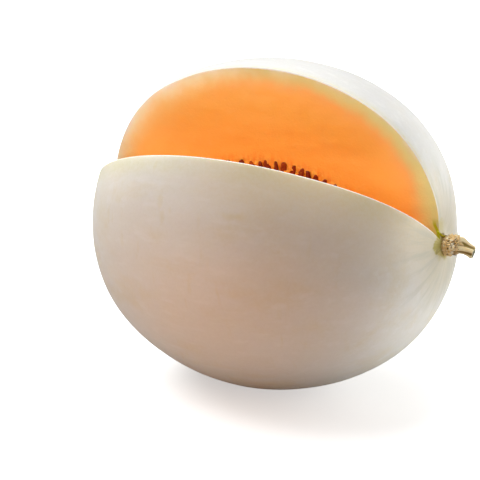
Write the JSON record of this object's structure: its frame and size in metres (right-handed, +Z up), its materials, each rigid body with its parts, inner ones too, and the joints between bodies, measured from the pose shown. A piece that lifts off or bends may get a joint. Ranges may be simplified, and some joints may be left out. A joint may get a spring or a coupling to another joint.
{
  "type": "cut melon",
  "caption": "Smooth pale-rinded orange-fleshed melon lying on its side, with a lengthwise wedge cut out down to the seed cavity and a short dried stem.",
  "frame": {"origin": "middle of the small flat spot that the melon rests on, below the middle of its long axis", "axes": "+X along the melon's long axis towards the stem, +Z up, -Y towards the side that the notch leans to"},
  "size_m": [0.2043, 0.174, 0.1722],
  "materials": {
    "rind_and_flesh": "smooth waxy off-white rind, moist orange flesh on the cut faces",
    "seeds_and_pulp": "wet stringy orange pulp with brown seeds",
    "stem": "dry, corky and ribbed"
  },
  "bodies": {
    "root": {"melon": "rind_and_flesh", "seeds_and_pulp": "seeds_and_pulp", "stem": "stem"}
  },
  "joints": []
}
